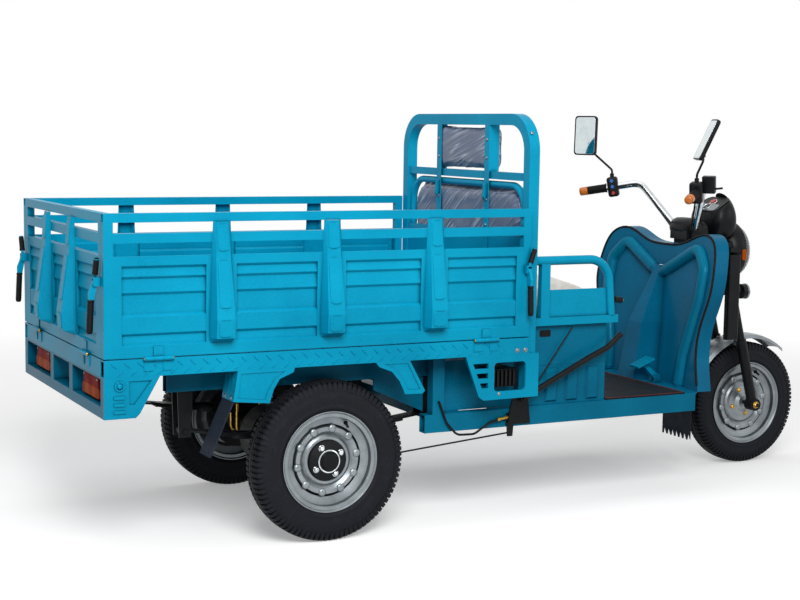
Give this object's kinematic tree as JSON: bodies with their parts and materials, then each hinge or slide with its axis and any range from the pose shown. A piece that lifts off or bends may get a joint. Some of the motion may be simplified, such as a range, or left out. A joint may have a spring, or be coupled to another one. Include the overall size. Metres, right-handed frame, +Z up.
{
  "type": "cargo tricycle",
  "caption": "electric cargo tricycle with an open bed of drop sides and a drop tailgate, a tube headboard, a bench seat, a leg shield and a raked front fork",
  "frame": {"origin": "centre of the footprint on the ground", "axes": "+X to the front wheel, +Y to the rider's left, +Z up"},
  "size_m": [3.1372, 1.0942, 1.4162],
  "materials": {
    "body_paint": "gloss metallic blue paint",
    "black_paint": "satin black paint",
    "silver_paint": "silver wheel paint",
    "bare_steel": "plain drawn steel",
    "yellow_zinc": "yellow zinc plate",
    "chrome_plate": "bright chrome",
    "motor_alloy": "cast alloy",
    "black_plastic": "grained black plastic",
    "mat_rubber": "grey-brown ribbed rubber",
    "black_rubber": "matt black rubber",
    "tyre_rubber": "treaded tyre rubber",
    "pad_vinyl": "dark blue-grey vinyl in clear film",
    "red_lens": "red lamp lens",
    "clear_lens": "clear headlamp lens",
    "blue_plastic": "blue button",
    "red_plastic": "red button"
  },
  "bodies": {
    "chassis": {"chassis_frame": "body_paint", "front_frame": "body_paint", "cargo_deck": "body_paint", "floor_pan": "body_paint", "floor_mat": "mat_rubber", "panel_hinges": "body_paint", "rear_lamp_frame": "body_paint", "tail_lamps": "red_lens", "side_skirts": "body_paint", "mud_flaps": "black_rubber", "headboard_arch": "body_paint", "headboard_rails": "body_paint", "head_pad": "pad_vinyl", "back_pad": "pad_vinyl", "seat_cushion": "pad_vinyl", "seat_box": "body_paint", "armrests": "body_paint", "batteries_and_controller": "black_plastic", "leg_shield": "body_paint", "brake_linkage": "bare_steel", "leaf_springs": "black_paint", "spring_hangers": "black_paint"},
    "rear_axle": {"axle_housing": "black_paint", "drive_motor": "motor_alloy", "u_bolts": "yellow_zinc"},
    "rear_wheel_right": {"rear_tyre_right": "tyre_rubber", "rear_rim_right": "silver_paint", "rear_hub_right": "black_paint"},
    "rear_wheel_left": {"rear_tyre_left": "tyre_rubber", "rear_rim_left": "silver_paint", "rear_hub_left": "black_paint"},
    "steering": {"steering_stem": "black_paint", "fork_guards": "black_plastic", "handlebar": "chrome_plate", "control_cables": "black_plastic", "column_cover": "black_plastic", "hand_controls": "black_plastic", "nacelle": "black_plastic", "headlamp_housing": "black_plastic", "headlamp_lens": "clear_lens"},
    "fork_lower": {"fork_sliders": "black_paint", "front_fender": "silver_paint"},
    "front_wheel": {"front_tyre": "tyre_rubber", "front_rim": "silver_paint"},
    "side_panel_right": {"side_panel_right": "body_paint"},
    "side_panel_left": {"side_panel_left": "body_paint"},
    "tailgate": {"tailgate": "body_paint"},
    "latch_front_right": {"latch_front_right": "black_rubber"},
    "latch_front_left": {"latch_front_left": "black_rubber"},
    "latch_rear_right": {"latch_rear_right": "black_rubber"},
    "latch_rear_left": {"latch_rear_left": "black_rubber"},
    "brake_pedal": {"brake_pedal": "body_paint"},
    "parking_brake_lever": {"parking_brake_lever": "black_paint"},
    "throttle_grip": {"throttle_grip": "black_rubber"},
    "button_upper": {"button_upper": "blue_plastic"},
    "button_middle": {"button_middle": "blue_plastic"},
    "button_lower": {"button_lower": "red_plastic"},
    "nacelle_switch": {"nacelle_switch": "red_plastic"},
    "mirror_left": {"mirror_left": "black_plastic"},
    "mirror_right": {"mirror_right": "black_plastic"}
  },
  "joints": [
    {"name": "rear_suspension", "type": "slide", "parent": "chassis", "child": "rear_axle", "axis": [0, 0, 1], "range_m": [0, 0.03], "stiffness_N_per_m": 50000, "springref_m": -0.05, "deforming": ["leaf_springs"]},
    {"name": "rear_wheel_right_spin", "type": "hinge", "parent": "rear_axle", "child": "rear_wheel_right", "pos_m": [-0.76125, -0.44, 0.266], "axis": [0, 1, 0], "continuous": true},
    {"name": "rear_wheel_left_spin", "type": "hinge", "parent": "rear_axle", "child": "rear_wheel_left", "pos_m": [-0.76125, 0.44, 0.266], "axis": [0, 1, 0], "continuous": true},
    {"name": "steer", "type": "hinge", "parent": "chassis", "child": "steering", "pos_m": [1.12686, 0, 0.8], "axis": [-0.2588, 0, 0.9659], "range_deg": [-40, 40]},
    {"name": "fork_travel", "type": "slide", "parent": "steering", "child": "fork_lower", "axis": [-0.2588, 0, 0.9659], "range_m": [0, 0.05], "stiffness_N_per_m": 20000, "springref_m": -0.07},
    {"name": "front_wheel_spin", "type": "hinge", "parent": "fork_lower", "child": "front_wheel", "pos_m": [1.31875, 0, 0.25], "axis": [0, 1, 0], "continuous": true},
    {"name": "side_panel_right_drop", "type": "hinge", "parent": "chassis", "child": "side_panel_right", "pos_m": [-0.76125, -0.5075, 0.6435], "axis": [1, 0, 0], "range_deg": [0, 135]},
    {"name": "side_panel_left_drop", "type": "hinge", "parent": "chassis", "child": "side_panel_left", "pos_m": [-0.76125, 0.5075, 0.6435], "axis": [-1, 0, 0], "range_deg": [0, 135]},
    {"name": "tailgate_drop", "type": "hinge", "parent": "chassis", "child": "tailgate", "pos_m": [-1.52875, 0, 0.6435], "axis": [0, -1, 0], "range_deg": [0, 135]},
    {"name": "latch_front_right_swing", "type": "hinge", "parent": "side_panel_right", "child": "latch_front_right", "pos_m": [-0.03825, -0.515, 0.875], "axis": [-1, 0, 0], "range_deg": [0, 90]},
    {"name": "latch_front_left_swing", "type": "hinge", "parent": "side_panel_left", "child": "latch_front_left", "pos_m": [-0.03825, 0.515, 0.875], "axis": [1, 0, 0], "range_deg": [0, 90]},
    {"name": "latch_rear_right_swing", "type": "hinge", "parent": "tailgate", "child": "latch_rear_right", "pos_m": [-1.53625, -0.458, 0.875], "axis": [0, 1, 0], "range_deg": [0, 90]},
    {"name": "latch_rear_left_swing", "type": "hinge", "parent": "tailgate", "child": "latch_rear_left", "pos_m": [-1.53625, 0.458, 0.875], "axis": [0, 1, 0], "range_deg": [0, 90]},
    {"name": "brake_pedal_press", "type": "hinge", "parent": "chassis", "child": "brake_pedal", "pos_m": [0.79475, -0.122, 0.404], "axis": [0, 1, 0], "range_deg": [0, 20], "stiffness_Nm_per_rad": 12, "springref_deg": -20.05},
    {"name": "parking_brake_pull", "type": "hinge", "parent": "chassis", "child": "parking_brake_lever", "pos_m": [0.00875, -0.4235, 0.418], "axis": [0, -1, 0], "range_deg": [0, 30]},
    {"name": "throttle_twist", "type": "hinge", "parent": "steering", "child": "throttle_grip", "pos_m": [0.79312, -0.32007, 1.11516], "axis": [0.7561, 0.6322, 0.1694], "range_deg": [0, 70], "stiffness_Nm_per_rad": 0.3, "springref_deg": -17.19},
    {"name": "button_upper_press", "type": "slide", "parent": "steering", "child": "button_upper", "axis": [0.6414, 0.7672, 0], "range_m": [0, 0.0025], "stiffness_N_per_m": 300, "springref_m": -0.003},
    {"name": "button_middle_press", "type": "slide", "parent": "steering", "child": "button_middle", "axis": [0.6414, 0.7672, 0], "range_m": [0, 0.0025], "stiffness_N_per_m": 300, "springref_m": -0.003},
    {"name": "button_lower_press", "type": "slide", "parent": "steering", "child": "button_lower", "axis": [0.6414, 0.7672, 0], "range_m": [0, 0.0025], "stiffness_N_per_m": 300, "springref_m": -0.003},
    {"name": "nacelle_switch_press", "type": "slide", "parent": "steering", "child": "nacelle_switch", "axis": [0.5446, 0, -0.8387], "range_m": [0, 0.004], "stiffness_N_per_m": 300, "springref_m": -0.003},
    {"name": "mirror_left_swivel", "type": "hinge", "parent": "steering", "child": "mirror_left", "pos_m": [0.81797, 0.37564, 1.28544], "axis": [0, 0, 1], "range_deg": [-30, 30]},
    {"name": "mirror_right_swivel", "type": "hinge", "parent": "steering", "child": "mirror_right", "pos_m": [0.80013, -0.36733, 1.27532], "axis": [0, 0, 1], "range_deg": [-30, 30]}
  ]
}
